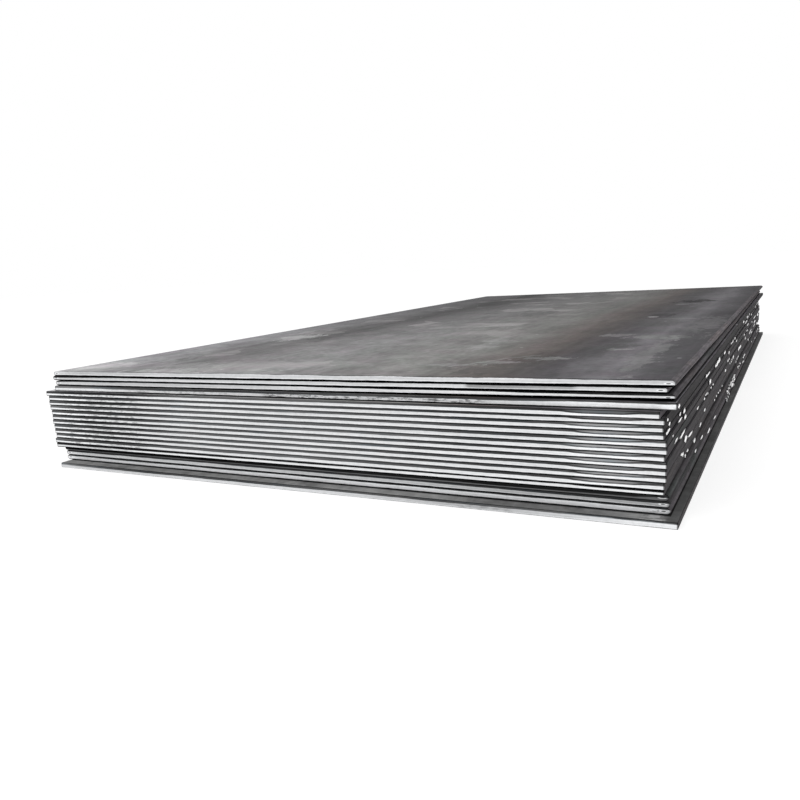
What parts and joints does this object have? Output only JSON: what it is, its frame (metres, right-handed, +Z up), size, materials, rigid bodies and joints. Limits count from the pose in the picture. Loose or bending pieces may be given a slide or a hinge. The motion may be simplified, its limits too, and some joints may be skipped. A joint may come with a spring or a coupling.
{
  "type": "stack of steel plates",
  "caption": "Flat stack of hot-rolled steel plates with dark mill scale and bright cut ends, each layer a little out of line.",
  "frame": {"origin": "on the floor, under the middle of the stack's box", "axes": "+X across the plates, +Y along them away from the near cut ends, +Z up through the stack"},
  "size_m": [1.5352, 3.0348, 0.2457],
  "materials": {
    "scaled_steel": "dark grey mill scale with a dull sheen, bright bare metal on the cut ends"
  },
  "bodies": {
    "root": {"plate_01": "scaled_steel", "plate_02": "scaled_steel", "plate_03": "scaled_steel", "plate_04": "scaled_steel", "plate_05": "scaled_steel", "plate_06": "scaled_steel", "plate_07": "scaled_steel", "plate_08": "scaled_steel", "plate_09": "scaled_steel", "plate_10": "scaled_steel", "plate_11": "scaled_steel", "plate_12": "scaled_steel", "plate_13": "scaled_steel", "plate_14": "scaled_steel", "plate_15": "scaled_steel", "plate_16": "scaled_steel", "plate_17": "scaled_steel", "plate_18": "scaled_steel", "plate_19": "scaled_steel", "plate_20": "scaled_steel"}
  },
  "joints": []
}
